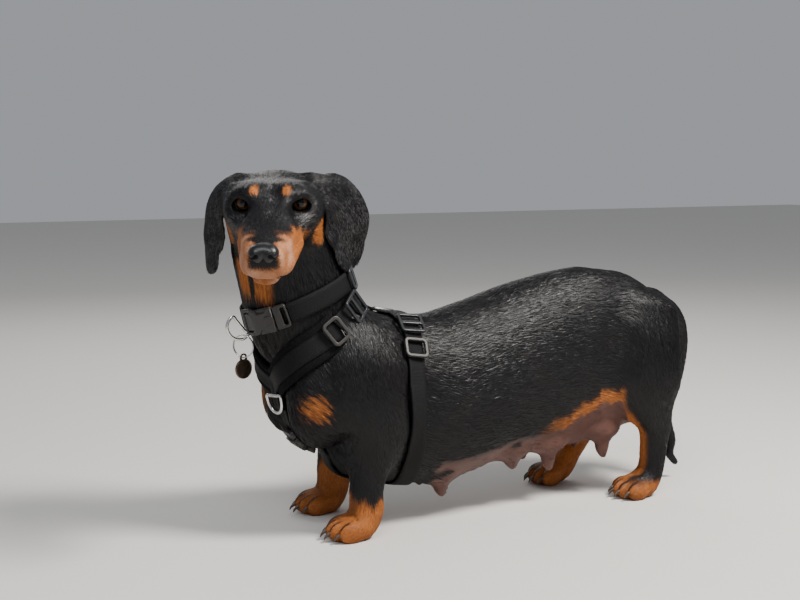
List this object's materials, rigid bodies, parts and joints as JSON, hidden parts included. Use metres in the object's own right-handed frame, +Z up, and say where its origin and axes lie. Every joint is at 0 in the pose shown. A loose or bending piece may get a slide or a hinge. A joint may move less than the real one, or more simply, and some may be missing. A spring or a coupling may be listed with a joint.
{
  "type": "dachshund in a walking harness",
  "caption": "Still life-size model of a smooth black and tan dachshund that stands with its head turned to its left, in a fleece-lined harness and a collar with a tag.",
  "frame": {"origin": "on the floor, under the middle of the model's bounding box", "axes": "+Z up, -X towards the dog's breast, -Y towards the dog's left side"},
  "size_m": [0.5786, 0.2158, 0.3637],
  "materials": {
    "coat": "short glossy fur, black with tan points",
    "nose": "moist and finely cobbled",
    "eye": "wet amber brown",
    "webbing": "woven",
    "fleece": "fleece",
    "plastic": "satin",
    "black_plastic": "glossy",
    "steel": "polished wire",
    "bronze": "dark, worn at the rim"
  },
  "bodies": {
    "root": {"torso": "coat", "neck": "coat", "tail": "coat", "foreleg_left": "coat", "foreleg_right": "coat", "hindleg_left": "coat", "hindleg_right": "coat", "head": "coat", "ear_left": "coat", "ear_right": "coat", "nose": "nose", "eye_left": "eye", "eye_right": "eye", "collar": "webbing", "collar_buckle": "plastic", "collar_slider": "black_plastic", "collar_ring": "steel", "tag_ring": "steel", "id_tag": "bronze", "back_strap": "webbing", "shoulder_strap_left": "webbing", "shoulder_strap_right": "webbing", "shoulder_ring_left": "plastic", "shoulder_ring_right": "plastic", "shoulder_slider_left": "black_plastic", "shoulder_slider_right": "black_plastic", "girth_strap_left": "webbing", "girth_strap_right": "webbing", "girth_slider_left": "black_plastic", "girth_slider_right": "black_plastic", "girth_ring_left": "plastic", "girth_ring_right": "plastic", "harness_chest": "fleece", "sternum_strap": "webbing", "sternum_buckle": "plastic", "harness_ring": "steel"}
  },
  "joints": []
}
